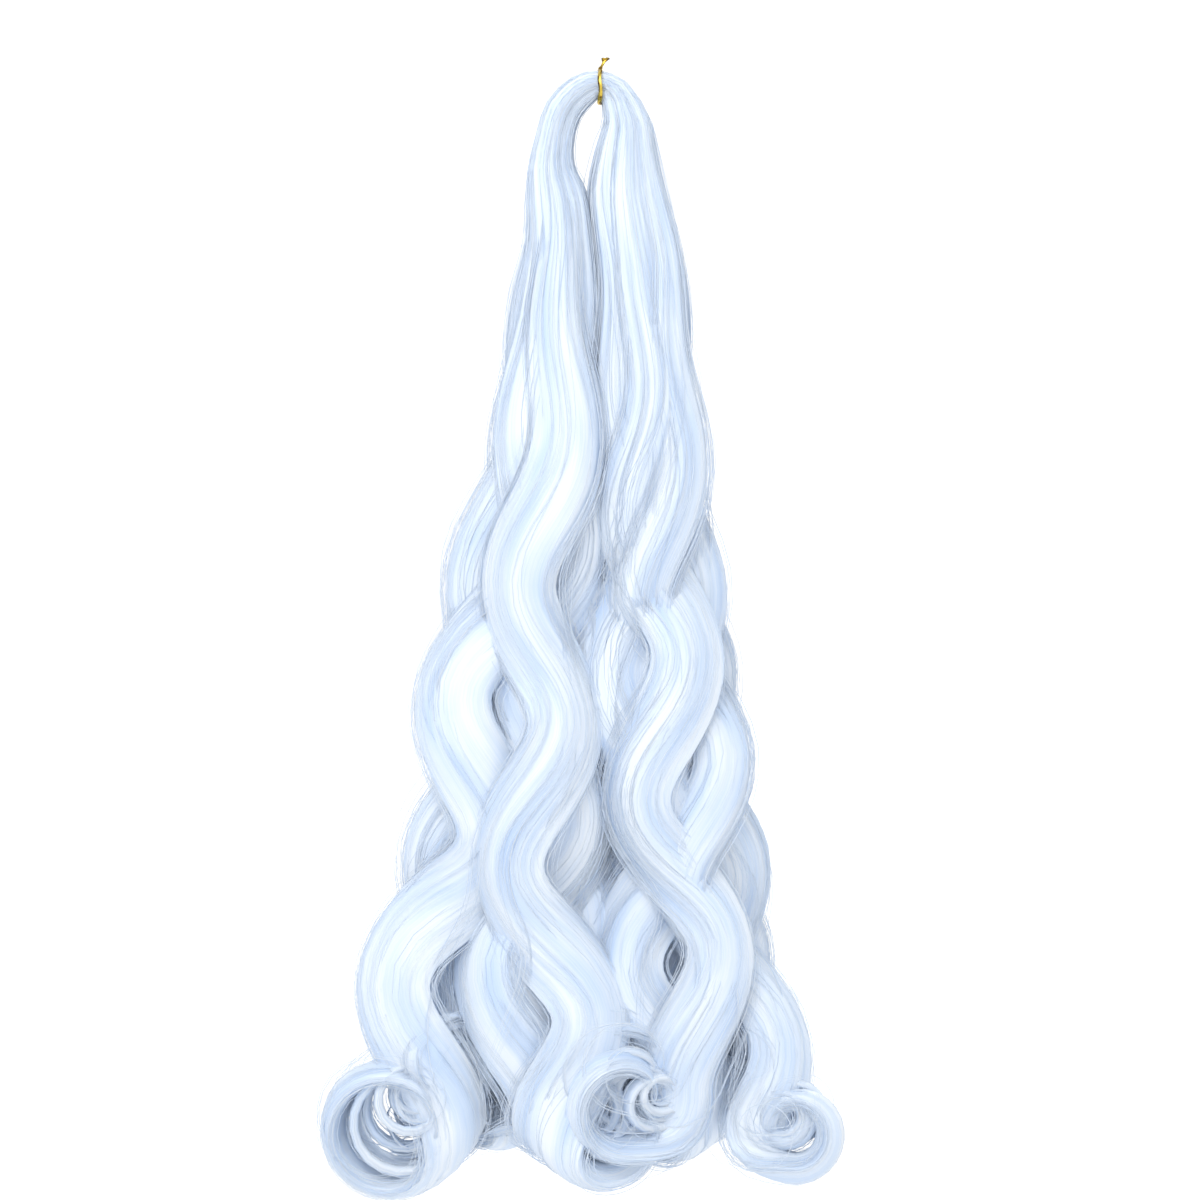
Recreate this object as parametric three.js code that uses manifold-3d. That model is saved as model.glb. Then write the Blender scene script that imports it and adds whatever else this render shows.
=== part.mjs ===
// A hank of wavy white braiding hair, folded over at its middle and hung by a gold twist tie.
// Millimetres, +Z up; the front faces -Y and the left half lies towards -X. The origin is the tip of
// the tie, where the hank hangs. The hair is one bundle: its locks lie side by side from curl to curl
// over the fold and are fused into one solid.

import * as THREE from "three";
import { mergeVertices } from "three/addons/utils/BufferGeometryUtils.js";
import Module from "manifold-3d";

// Overall sizes of the hank.
const HANK_LENGTH = 565; // from the top of the fold down to the lowest curl
const HANK_SPREAD = 215; // across both halves of the fall at its widest
const HANK_DEPTH = 62; // front to back where the fall is thickest

// Locks, well down the fall.
const LOCK_WIDTH = 41; // across the face of a lock
const LOCK_THICKNESS = 15.5; // through a lock
const LOCK_SIDES = 7; // corners of a lock's section
const LOCK_SECTIONS = 23; // down each hanging end of a lock, before its curl
const LOCK_CROWDING = 1.25; // over 1, so the sections lie closer together towards the fold
const RUN_DIVISIONS = 16; // between two levels, to measure how far the middle line runs
const LEVEL_HALVINGS = 24; // to find where the middle line comes down to a level
const WELD = 0.001; // corners closer than this are one
const BUNDLE_SHARE = 0.47; // a lock's size as a share of the bundle's where it goes over the fold

// Waves set into the locks.
const WAVE_LENGTH = 146; // from crest to crest down the fall
const WAVE_SWING = 17; // sideways to either hand, low down
const WAVE_DEPTH = 5; // to the front and back, low down
const WAVE_ROCK = THREE.MathUtils.degToRad(24); // how far a lock's face turns aside at a crest

// Curls that the locks end in.
const CURL_RADIUS = 32; // of the largest curl, where it starts
const CURL_TIGHTENING = 0.4; // a curl's last radius as a share of its first
const CURL_SECTIONS = 8; // sections in each turn of a curl
const TIP_SHARE = 0.5; // a lock's size at its tip as a share of its full size

// The twist tie, a flat gold strip.
const TIE_WIDTH = 2.2;
const TIE_THICKNESS = 0.7;
const TIE_CLEARANCE = 0.3; // between the strip and the hair
const TIE_RISE = 6.5; // of its twisted ends above the fold
const TIE_LEAN = 3; // of their tip to the right
const TIE_TURNS = 0.75; // of the ends round each other
const TIE_SPREAD = 2.3; // between the middles of the two ends at the tip
const TIE_SIDES = 6; // corners of the strip's section
const TIE_LOOP_SECTIONS = 18;
const TIE_END_SECTIONS = 7;
const FIT_SAMPLES = 40; // places to either hand of the top where the bundle is measured for the tie
const FIT_SPAN = 0.01; // how far they go, as a share of the middle line's whole run

// Levels where the changes down the hank begin and end, as shares of HANK_LENGTH.
const FAN_FROM = 0.06; // the round bundle starts to open into a fan of locks
const FAN_TO = 0.4;
const WAVE_FROM = 0.1; // the waves start
const WAVE_TO = 0.65; // and have their full swing

// The middle of each half of the hank. drop is a share of HANK_LENGTH below the top of the fold, middle
// and reach (to either side of the middle) are shares of HANK_SPREAD, depth is a share of HANK_DEPTH.
const FOLD_TOP = { drop: 0.0115, middle: 0, reach: 0.0302, depth: 0.24 };
const LEFT_LEVELS = [
  { drop: 0.0164, middle: 0.039, reach: 0.038, depth: 0.27 },
  { drop: 0.034, middle: 0.084, reach: 0.042, depth: 0.3 },
  { drop: 0.062, middle: 0.106, reach: 0.044, depth: 0.33 },
  { drop: 0.089, middle: 0.112, reach: 0.054, depth: 0.36 },
  { drop: 0.115, middle: 0.099, reach: 0.071, depth: 0.39 },
  { drop: 0.15, middle: 0.093, reach: 0.075, depth: 0.43 },
  { drop: 0.204, middle: 0.098, reach: 0.095, depth: 0.48 },
  { drop: 0.288, middle: 0.107, reach: 0.115, depth: 0.55 },
  { drop: 0.443, middle: 0.145, reach: 0.15, depth: 0.7 },
  { drop: 0.549, middle: 0.177, reach: 0.18, depth: 0.8 },
  { drop: 0.704, middle: 0.2, reach: 0.2, depth: 0.93 },
  { drop: 0.814, middle: 0.228, reach: 0.228, depth: 1 },
  { drop: 1, middle: 0.23, reach: 0.235, depth: 1 },
];
const RIGHT_LEVELS = [
  { drop: 0.02, middle: 0.036, reach: 0.038, depth: 0.27 },
  { drop: 0.033, middle: 0.052, reach: 0.045, depth: 0.3 },
  { drop: 0.049, middle: 0.063, reach: 0.058, depth: 0.32 },
  { drop: 0.071, middle: 0.061, reach: 0.073, depth: 0.35 },
  { drop: 0.107, middle: 0.061, reach: 0.093, depth: 0.38 },
  { drop: 0.136, middle: 0.073, reach: 0.099, depth: 0.41 },
  { drop: 0.177, middle: 0.091, reach: 0.104, depth: 0.45 },
  { drop: 0.288, middle: 0.112, reach: 0.108, depth: 0.55 },
  { drop: 0.443, middle: 0.12, reach: 0.122, depth: 0.7 },
  { drop: 0.602, middle: 0.15, reach: 0.15, depth: 0.85 },
  { drop: 0.708, middle: 0.165, reach: 0.165, depth: 0.93 },
  { drop: 0.85, middle: 0.192, reach: 0.192, depth: 1 },
  { drop: 1, middle: 0.23, reach: 0.25, depth: 1 },
];

// The waves of each lock's two hanging ends, a row for each lock, the same lock in every table: the front
// lock first, then round by the outer edge to the back and forward again along the middle of the hank.
// lane runs from -1 at the middle of the hank to 1 at its outer edge and drifts to lastLane at the bottom;
// layer runs from -1 in front to 1 behind. crest is the level where a wave crests outwards, as a share of
// HANK_LENGTH, hand is 1 where the lock comes to the front as it swings outwards, and width is a share of
// LOCK_WIDTH.
const LEFT_WAVES = [
  { lane: 0.3, lastLane: -1.2, layer: -1, crest: 0.7, hand: 1, width: 1 },
  { lane: 0.95, lastLane: 1.15, layer: -0.5, crest: 0.549, hand: -1, width: 0.95 },
  { lane: 0.95, lastLane: 0.9, layer: 0.2, crest: 0.704, hand: 1, width: 0.95 },
  { lane: 0.6, lastLane: 0.9, layer: 0.8, crest: 0.56, hand: 1, width: 1 },
  { lane: -0.3, lastLane: -0.2, layer: 0.95, crest: 0.66, hand: -1, width: 1 },
  { lane: -1.2, lastLane: -1.1, layer: 0.2, crest: 0.62, hand: 1, width: 1 },
  { lane: -0.9, lastLane: -0.3, layer: -0.4, crest: 0.79, hand: -1, width: 1.05 },
];
const RIGHT_WAVES = [
  { lane: -0.25, lastLane: 0.6, layer: -1, crest: 0.775, hand: -1, width: 1 },
  { lane: 0.95, lastLane: 1.25, layer: -0.5, crest: 0.602, hand: -1, width: 0.9 },
  { lane: 0.95, lastLane: 0.9, layer: 0.2, crest: 0.708, hand: 1, width: 0.95 },
  { lane: 0.6, lastLane: 0.8, layer: 0.8, crest: 0.53, hand: 1, width: 1 },
  { lane: -0.3, lastLane: 0, layer: 0.95, crest: 0.67, hand: -1, width: 1 },
  { lane: -1.2, lastLane: -1, layer: 0.2, crest: 0.749, hand: -1, width: 1 },
  { lane: -0.8, lastLane: -0.3, layer: -0.4, crest: 0.66, hand: 1, width: 1.05 },
];

// The curls that the same ends run out in. from is the level where the curl starts, as a share of
// HANK_LENGTH, turns its length, radius a share of CURL_RADIUS, roll 1 for a curl that rolls outwards and
// -1 for one that rolls in, and lean the angle in degrees by which its axis turns from straight ahead.
const LEFT_CURLS = [
  { from: 0.9, turns: 0.9, radius: 0.8, roll: -1, lean: -20 },
  { from: 0.9, turns: 1.5, radius: 1, roll: 1, lean: 12 },
  { from: 0.88, turns: 0.7, radius: 0.6, roll: 1, lean: -30 },
  { from: 0.91, turns: 0.8, radius: 0.75, roll: -1, lean: 20 },
  { from: 0.91, turns: 0.7, radius: 0.75, roll: 1, lean: -40 },
  { from: 0.9, turns: 0.7, radius: 0.75, roll: 1, lean: 30 },
  { from: 0.905, turns: 1.3, radius: 0.95, roll: -1, lean: -12 },
];
const RIGHT_CURLS = [
  { from: 0.9, turns: 1.2, radius: 0.8, roll: -1, lean: -8 },
  { from: 0.925, turns: 1.3, radius: 0.62, roll: 1, lean: 10 },
  { from: 0.88, turns: 0.7, radius: 0.55, roll: 1, lean: 15 },
  { from: 0.91, turns: 0.8, radius: 0.7, roll: -1, lean: -20 },
  { from: 0.9, turns: 0.7, radius: 0.75, roll: 1, lean: 40 },
  { from: 0.9, turns: 0.7, radius: 0.75, roll: 1, lean: -30 },
  { from: 0.895, turns: 1, radius: 0.75, roll: -1, lean: 30 },
];

const FRONT_TO_BACK = new THREE.Vector3(0, 1, 0);
const wasm = await Module();
wasm.setup();

// 0 before from, 1 after to, and an even S between them.
const ease = (value, from, to) => THREE.MathUtils.smoothstep(value, from, to);

// The middle line over the fold and, in step with it, the reach and depth round it. Places on it are given
// as shares of its whole run from the lowest level on the left, and top is the place of the fold's top.
function makeSpine() {
  const point = (level, side) =>
    new THREE.Vector3(side * level.middle * HANK_SPREAD, 0, -level.drop * HANK_LENGTH);
  const size = (level) => new THREE.Vector3(level.reach * HANK_SPREAD, (level.depth * HANK_DEPTH) / 2, 0);
  const climbing = [...LEFT_LEVELS].reverse();
  const points = [
    ...climbing.map((level) => point(level, -1)),
    point(FOLD_TOP, 0),
    ...RIGHT_LEVELS.map((level) => point(level, 1)),
  ];
  const sizes = [...climbing, FOLD_TOP, ...RIGHT_LEVELS].map(size);
  const line = new THREE.CatmullRomCurve3(points);
  line.arcLengthDivisions = RUN_DIVISIONS * (points.length - 1);
  const runs = line.getLengths();
  const top = runs[RUN_DIVISIONS * LEFT_LEVELS.length] / runs.at(-1);
  return { line, sizes: new THREE.CatmullRomCurve3(sizes), top };
}

// The bundle at one place on its middle line: outward points away from the eye of the fold.
function bundleAt(spine, at) {
  const share = spine.line.getUtoTmapping(at);
  const along = spine.line.getTangent(share);
  const { x: reach, y: depth } = spine.sizes.getPoint(share);
  const outward = new THREE.Vector3(-along.z, 0, along.x);
  return { middle: spine.line.getPoint(share), along, outward, reach, depth };
}

// One section of a lock on the wavy part: its place, its wide direction, its half sizes and the direction
// that it faces, which counts as far as the locks are still one bundle.
function waveSection(spine, at, bundlePlace, wave) {
  const { middle, along, outward, reach, depth } = bundleAt(spine, at);
  const drop = -middle.z / HANK_LENGTH;
  const fanned = ease(drop, FAN_FROM, FAN_TO);
  const waved = ease(drop, WAVE_FROM, WAVE_TO);
  const phase = ((drop - wave.crest) * HANK_LENGTH * 2 * Math.PI) / WAVE_LENGTH;
  const mix = THREE.MathUtils.lerp;
  const halfWidth = mix(reach * BUNDLE_SHARE, (LOCK_WIDTH * wave.width) / 2, fanned);
  const halfThickness = mix(depth * BUNDLE_SHARE, LOCK_THICKNESS / 2, fanned);
  const lane = mix(bundlePlace.x, mix(wave.lane, wave.lastLane, ease(drop, FAN_TO, 1)), fanned);
  const layer = mix(bundlePlace.y, wave.layer, fanned);
  const rock = WAVE_ROCK * waved * Math.cos(phase);
  return {
    place: middle
      .addScaledVector(outward, lane * (reach - halfWidth) + WAVE_SWING * waved * Math.cos(phase))
      .addScaledVector(
        FRONT_TO_BACK,
        layer * (depth - halfThickness) + WAVE_DEPTH * waved * wave.hand * Math.sin(phase),
      ),
    wide: outward.multiplyScalar(Math.cos(rock)).addScaledVector(FRONT_TO_BACK, Math.sin(rock)),
    halfWidth,
    halfThickness,
    facing: along,
    bundled: 1 - fanned,
  };
}

// The curl that carries on from a lock's last two wavy sections.
function curlSections(before, last, curl, side) {
  const sections = [];
  const count = Math.round(curl.turns * CURL_SECTIONS);
  const heading = last.place.clone().sub(before.place).normalize();
  const lean = THREE.MathUtils.degToRad(curl.lean);
  // Turning about this axis takes a lock that hangs down towards the side that it rolls to.
  const axis = new THREE.Vector3(Math.sin(lean), Math.cos(lean), 0).multiplyScalar(-side * curl.roll);
  axis.addScaledVector(heading, -axis.dot(heading)).normalize();
  const place = last.place.clone();
  const wideAxis = axis.clone().multiplyScalar(Math.sign(axis.dot(last.wide)) || 1);
  for (let i = 1; i <= count; i += 1) {
    const share = i / count;
    const radius = CURL_RADIUS * curl.radius * THREE.MathUtils.lerp(1, CURL_TIGHTENING, share ** 2);
    const angle = (2 * Math.PI) / CURL_SECTIONS;
    place.addScaledVector(heading.applyAxisAngle(axis, angle / 2), radius * angle);
    heading.applyAxisAngle(axis, angle / 2);
    const slimming = THREE.MathUtils.lerp(1, TIP_SHARE, share ** 2);
    sections.push({
      place: place.clone(),
      wide: last.wide.clone().lerp(wideAxis, ease(i, 0, CURL_SECTIONS / 3)),
      halfWidth: last.halfWidth * slimming,
      halfThickness: last.halfThickness * slimming,
    });
  }
  return sections;
}

// A closed body through a row of sections, each square to the way the row runs there or, as far as it is
// bundled, to the direction that it faces. A ring joins its last section to its first; any other row is
// closed by a flat face at either end.
function loftSections(sections, sides, isRing = false) {
  const points = [];
  const faces = [];
  const count = sections.length;
  const neighbour = (i) => sections[isRing ? (i + count) % count : THREE.MathUtils.clamp(i, 0, count - 1)];
  sections.forEach((section, i) => {
    const along = neighbour(i + 1).place.clone().sub(neighbour(i - 1).place).normalize();
    if (section.bundled) along.lerp(section.facing, section.bundled).normalize();
    const wide = section.wide.clone().addScaledVector(along, -section.wide.dot(along)).normalize();
    const thin = along.clone().cross(wide);
    for (let s = 0; s < sides; s += 1) {
      const angle = (2 * Math.PI * s) / sides;
      points.push(
        section.place
          .clone()
          .addScaledVector(wide, section.halfWidth * Math.cos(angle))
          .addScaledVector(thin, section.halfThickness * Math.sin(angle)),
      );
    }
  });
  const corners = count * sides;
  const firstMiddle = corners;
  const lastMiddle = corners + 1;
  if (!isRing) points.push(sections[0].place, sections[count - 1].place);
  for (let s = 0; s < sides; s += 1) {
    const next = (s + 1) % sides;
    for (let ring = 0; ring < (isRing ? corners : corners - sides); ring += sides) {
      const after = (ring + sides) % corners;
      faces.push(ring + s, ring + next, after + next);
      faces.push(ring + s, after + next, after + s);
    }
    if (isRing) continue;
    faces.push(firstMiddle, next, s);
    faces.push(lastMiddle, corners - sides + s, corners - sides + next);
  }
  return new THREE.BufferGeometry().setFromPoints(points).setIndex(faces);
}

const toSolid = (geometry) =>
  new wasm.Manifold(
    new wasm.Mesh({
      numProp: 3,
      vertProperties: geometry.getAttribute("position").array,
      triVerts: new Uint32Array(geometry.index.array),
    }),
  );

function toGeometry(solid) {
  const { vertProperties, triVerts } = solid.getMesh();
  const geometry = new THREE.BufferGeometry();
  geometry.setAttribute("position", new THREE.BufferAttribute(vertProperties, 3));
  return geometry.setIndex(new THREE.BufferAttribute(triVerts, 1));
}

// A fused solid as the geometry of a mesh, hung from the origin. Corners closer than WELD are joined and
// only the outer skin is kept, so slivers go and pockets that close up between the pieces are filled.
function toHungGeometry(solid) {
  const hung = toGeometry(solid).translate(-TIE_LEAN, 0, -TIE_RISE);
  const skins = toSolid(mergeVertices(hung, WELD)).decompose();
  const outer = skins.reduce((best, skin) => (skin.volume() > best.volume() ? skin : best));
  const geometry = toGeometry(outer);
  geometry.computeVertexNormals();
  return geometry;
}

// Where along one side of the middle line it comes down to a level, found by halving.
function placeAtLevel(spine, level, side) {
  let above = spine.top;
  let below = side < 0 ? 0 : 1;
  for (let i = 0; i < LEVEL_HALVINGS; i += 1) {
    const between = (above + below) / 2;
    if (-spine.line.getPointAt(between).z < level * HANK_LENGTH) above = between;
    else below = between;
  }
  return above;
}

// One hanging half of a lock: its sections from the top of the fold down to the tip of its curl.
function hangingSections(spine, bundlePlace, wave, curl, side) {
  const sections = [];
  const lowest = placeAtLevel(spine, curl.from, side);
  for (let i = 0; i <= LOCK_SECTIONS; i += 1) {
    const at = THREE.MathUtils.lerp(spine.top, lowest, (i / LOCK_SECTIONS) ** LOCK_CROWDING);
    sections.push(waveSection(spine, at, bundlePlace, wave));
  }
  return sections.concat(curlSections(sections.at(-2), sections.at(-1), curl, side));
}

// The whole hank: over the fold the locks lie round the rim of the bundle, the first one in front.
function makeHank() {
  const spine = makeSpine();
  const solids = LEFT_WAVES.map((leftWave, i) => {
    const angle = (2 * Math.PI * i) / LEFT_WAVES.length - Math.PI / 2;
    const bundlePlace = new THREE.Vector2(Math.cos(angle), Math.sin(angle));
    const left = hangingSections(spine, bundlePlace, leftWave, LEFT_CURLS[i], -1);
    const right = hangingSections(spine, bundlePlace, RIGHT_WAVES[i], RIGHT_CURLS[i], 1);
    return toSolid(loftSections([...left.reverse(), ...right.slice(1)], LOCK_SIDES));
  });
  return toHungGeometry(solids.reduce((whole, lock) => whole.add(lock)));
}

// The bundle's box where the tie goes round it.
function bundleUnderTie(spine) {
  const box = new THREE.Box3();
  for (let i = -FIT_SAMPLES; i <= FIT_SAMPLES; i += 1) {
    const { middle, outward, reach, depth } = bundleAt(spine, spine.top + (i / FIT_SAMPLES) * FIT_SPAN);
    for (const hand of [-1, 1]) {
      const edge = middle.clone().addScaledVector(outward, hand * reach);
      if (Math.abs(edge.x) > TIE_WIDTH / 2 + TIE_CLEARANCE) continue;
      box.expandByPoint(edge.addScaledVector(FRONT_TO_BACK, depth));
    }
  }
  return box;
}

// The strip's loop round the fold.
function tieLoop(foldMiddle, halfHeight, halfDepth) {
  const sections = [];
  for (let i = 0; i < TIE_LOOP_SECTIONS; i += 1) {
    const angle = (2 * Math.PI * i) / TIE_LOOP_SECTIONS;
    sections.push({
      place: new THREE.Vector3(0, -halfDepth * Math.sin(angle), foldMiddle + halfHeight * Math.cos(angle)),
      wide: new THREE.Vector3(1, 0, 0),
      halfWidth: TIE_WIDTH / 2,
      halfThickness: TIE_THICKNESS / 2,
    });
  }
  return toSolid(loftSections(sections, TIE_SIDES, true));
}

// One of the strip's two ends, winding up round the other from the top of the loop.
function tieEnd(loopTop, startAngle) {
  const sections = [];
  for (let i = 0; i <= TIE_END_SECTIONS; i += 1) {
    const share = i / TIE_END_SECTIONS;
    const angle = startAngle + 2 * Math.PI * TIE_TURNS * (share - 1);
    const aside = new THREE.Vector3(Math.cos(angle), Math.sin(angle), 0);
    const offset = THREE.MathUtils.lerp(TIE_THICKNESS / 3, TIE_SPREAD / 2, share ** 2);
    sections.push({
      place: new THREE.Vector3(TIE_LEAN * share, 0, THREE.MathUtils.lerp(loopTop, TIE_RISE, share))
        .addScaledVector(aside, offset),
      wide: new THREE.Vector3(-aside.y, aside.x, 0).lerp(aside, share ** 2),
      halfWidth: TIE_WIDTH / 2,
      halfThickness: TIE_THICKNESS / 2,
    });
  }
  return toSolid(loftSections(sections, TIE_SIDES));
}

// The twist tie: one strip, looped round the fold and twisted together above it.
function makeTie() {
  const gap = TIE_CLEARANCE + TIE_THICKNESS / 2;
  const { min, max } = bundleUnderTie(makeSpine());
  const halfHeight = (max.z - min.z) / 2 + gap;
  const halfDepth = max.y + gap;
  const foldMiddle = (max.z + min.z) / 2;
  const loopTop = foldMiddle + halfHeight;
  const loop = tieLoop(foldMiddle, halfHeight, halfDepth);
  return toHungGeometry(loop.add(tieEnd(loopTop, 0)).add(tieEnd(loopTop, Math.PI)));
}

const hair = new THREE.MeshStandardMaterial({ color: "#e9f0fb", roughness: 0.38, metalness: 0 });
const gold = new THREE.MeshStandardMaterial({ color: "#c79a1e", roughness: 0.28, metalness: 1 });

const part = new THREE.Group();
const hank = new THREE.Mesh(makeHank(), hair);
hank.name = "hair_hank";
const tie = new THREE.Mesh(makeTie(), gold);
tie.name = "twist_tie";
part.add(hank, tie);

export default part;
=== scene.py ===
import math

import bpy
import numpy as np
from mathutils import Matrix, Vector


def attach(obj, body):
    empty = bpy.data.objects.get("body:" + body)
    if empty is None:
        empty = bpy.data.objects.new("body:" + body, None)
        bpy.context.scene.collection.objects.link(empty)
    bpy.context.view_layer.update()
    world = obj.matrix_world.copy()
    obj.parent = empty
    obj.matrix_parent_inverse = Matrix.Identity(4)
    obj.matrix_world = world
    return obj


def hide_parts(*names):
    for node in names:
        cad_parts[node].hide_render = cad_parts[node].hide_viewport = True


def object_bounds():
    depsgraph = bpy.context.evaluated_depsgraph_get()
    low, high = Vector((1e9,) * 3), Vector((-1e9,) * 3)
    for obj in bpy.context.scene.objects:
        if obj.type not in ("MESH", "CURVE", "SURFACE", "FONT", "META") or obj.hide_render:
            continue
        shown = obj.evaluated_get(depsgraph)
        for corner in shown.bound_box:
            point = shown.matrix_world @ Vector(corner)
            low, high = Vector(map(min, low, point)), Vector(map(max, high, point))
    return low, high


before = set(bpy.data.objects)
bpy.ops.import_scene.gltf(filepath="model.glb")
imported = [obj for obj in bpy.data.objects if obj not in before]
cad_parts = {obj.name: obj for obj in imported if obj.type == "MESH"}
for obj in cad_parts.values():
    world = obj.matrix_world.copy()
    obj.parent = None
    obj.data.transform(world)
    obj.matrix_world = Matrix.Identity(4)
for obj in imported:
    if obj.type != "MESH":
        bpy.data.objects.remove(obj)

# A hank of wavy, near-white braiding hair, folded at its middle and hung by a gold twist tie.
# Metres, +Z up, front to -Y. Paths are worked out with the top of the fold near the origin and are
# hung from the tip of the tie, which is the part's origin, by HANG at the very end.

cad_low, cad_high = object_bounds()

# Overall sizes of the hank.
HANK_LENGTH = 0.565
HANK_SPREAD = 0.215
HANK_DEPTH = 0.062

# Locks, waves and curls, as in the solid model.
LOCK_WIDTH = 0.041
LOCK_THICKNESS = 0.0155
BUNDLE_SHARE = 0.47
WAVE_LENGTH = 0.146
WAVE_SWING = 0.017
WAVE_DEPTH = 0.005
WAVE_ROCK = math.radians(24)
CURL_RADIUS = 0.032
CURL_TIGHTENING = 0.4
CURL_OPENING = 1 / 3  # of a turn, in which a lock's face turns along the curl's axis
TIP_SHARE = 0.5
FAN_FROM, FAN_TO = 0.06, 0.4
WAVE_FROM, WAVE_TO = 0.1, 0.65

# The twist tie.
TIE_WIDTH = 0.0022
TIE_THICKNESS = 0.0007
TIE_CLEARANCE = 0.0003
TIE_RISE = 0.0065
TIE_LEAN = 0.003
TIE_TURNS = 0.75
TIE_SPREAD = 0.0023
HANG = np.array([-TIE_LEAN, 0, -TIE_RISE])

# Stations down each hanging end, and how the hair is divided.
LEVEL_STEPS = 64  # between two levels of the middle line
WAVE_STATIONS = 72
CURL_STATIONS = 32
STATIONS = 2 * (WAVE_STATIONS + CURL_STATIONS) + 1
CROWDING = 1.15  # over 1, so the stations lie closer together towards the fold
LOCK_SIDES = 76
LOOSE_WISPS = 10  # that a lock's strands follow
CROSSINGS_EACH = 3  # for each pair of locks that they run between
CURL_WISPS = 6  # inside each curl
CURL_WISP_STATIONS = 42  # counted from its tip
CURL_WISP_SIDES = 6
STRANDS_PER_LOCK = 350
STRANDS_PER_CROSSING = 12
STRANDS_PER_CURL_WISP = 6
STRAND_STATIONS = 34
STRAND_SIDES = 3
STRAND_PIECES = 4
FLYAWAYS = 200
SEED = 11

# Levels of the middle line: drop as a share of HANK_LENGTH, middle and reach of HANK_SPREAD, and depth
# of HANK_DEPTH.
FOLD_TOP = (0.0115, 0, 0.0302, 0.24)
LEFT_LEVELS = [
    (0.0164, 0.039, 0.038, 0.27), (0.034, 0.084, 0.042, 0.3), (0.062, 0.106, 0.044, 0.33),
    (0.089, 0.112, 0.054, 0.36), (0.115, 0.099, 0.071, 0.39), (0.15, 0.093, 0.075, 0.43),
    (0.204, 0.098, 0.095, 0.48), (0.288, 0.107, 0.115, 0.55), (0.443, 0.145, 0.15, 0.7),
    (0.549, 0.177, 0.18, 0.8), (0.704, 0.2, 0.2, 0.93), (0.814, 0.228, 0.228, 1), (1, 0.23, 0.235, 1),
]
RIGHT_LEVELS = [
    (0.02, 0.036, 0.038, 0.27), (0.033, 0.052, 0.045, 0.3), (0.049, 0.063, 0.058, 0.32),
    (0.071, 0.061, 0.073, 0.35), (0.107, 0.061, 0.093, 0.38), (0.136, 0.073, 0.099, 0.41),
    (0.177, 0.091, 0.104, 0.45), (0.288, 0.112, 0.108, 0.55), (0.443, 0.12, 0.122, 0.7),
    (0.602, 0.15, 0.15, 0.85), (0.708, 0.165, 0.165, 0.93), (0.85, 0.192, 0.192, 1), (1, 0.23, 0.25, 1),
]

# Each lock's two hanging ends: lane, last lane, layer, crest, hand and width of its waves, then the
# level, turns, radius, roll and lean of its curl.
LEFT_LOCKS = [
    (0.3, -1.2, -1, 0.7, 1, 1, 0.9, 0.9, 0.8, -1, -20),
    (0.95, 1.15, -0.5, 0.549, -1, 0.95, 0.9, 1.5, 1, 1, 12),
    (0.95, 0.9, 0.2, 0.704, 1, 0.95, 0.88, 0.7, 0.6, 1, -30),
    (0.6, 0.9, 0.8, 0.56, 1, 1, 0.91, 0.8, 0.75, -1, 20),
    (-0.3, -0.2, 0.95, 0.66, -1, 1, 0.91, 0.7, 0.75, 1, -40),
    (-1.2, -1.1, 0.2, 0.62, 1, 1, 0.9, 0.7, 0.75, 1, 30),
    (-0.9, -0.3, -0.4, 0.79, -1, 1.05, 0.905, 1.3, 0.95, -1, -12),
]
RIGHT_LOCKS = [
    (-0.25, 0.6, -1, 0.775, -1, 1, 0.9, 1.2, 0.8, -1, -8),
    (0.95, 1.25, -0.5, 0.602, -1, 0.9, 0.925, 1.3, 0.62, 1, 10),
    (0.95, 0.9, 0.2, 0.708, 1, 0.95, 0.88, 0.7, 0.55, 1, 15),
    (0.6, 0.8, 0.8, 0.53, 1, 1, 0.91, 0.8, 0.7, -1, -20),
    (-0.3, 0, 0.95, 0.67, -1, 1, 0.9, 0.7, 0.75, 1, 40),
    (-1.2, -1, 0.2, 0.749, -1, 1, 0.9, 0.7, 0.75, 1, -30),
    (-0.8, -0.3, -0.4, 0.66, 1, 1.05, 0.895, 1, 0.75, -1, 30),
]
WAVE_NAMES = ("lane", "last_lane", "layer", "crest", "hand", "width")
CURL_NAMES = ("level", "turns", "radius", "roll", "lean")

Y_AXIS = np.array([0.0, 1.0, 0.0])
rng = np.random.default_rng(SEED)


# Small helpers

def ease(value, start, end):
    share = np.clip((value - start) / (end - start), 0, 1)
    return share * share * (3 - 2 * share)


def mix(a, b, share):
    return a + (b - a) * share


def unit(vectors):
    return vectors / np.linalg.norm(vectors, axis=-1, keepdims=True)


def square_to(vectors, along):
    return unit(vectors - along * np.sum(vectors * along, axis=-1, keepdims=True))


def wander(count, stations, waves, size):
    """Smooth random lines about 0, one for each of count things, over the stations."""
    places = np.linspace(0, 1, stations)
    lines = np.zeros((count, stations))
    for wave in range(1, waves + 1):
        phases = rng.uniform(0, 2 * math.pi, (count, 1))
        heights = rng.normal(0, 1, (count, 1))
        lines += heights * np.sin(math.pi * wave * places + phases) / math.sqrt(wave)
    return size * lines


# The middle line of the bundle

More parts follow.
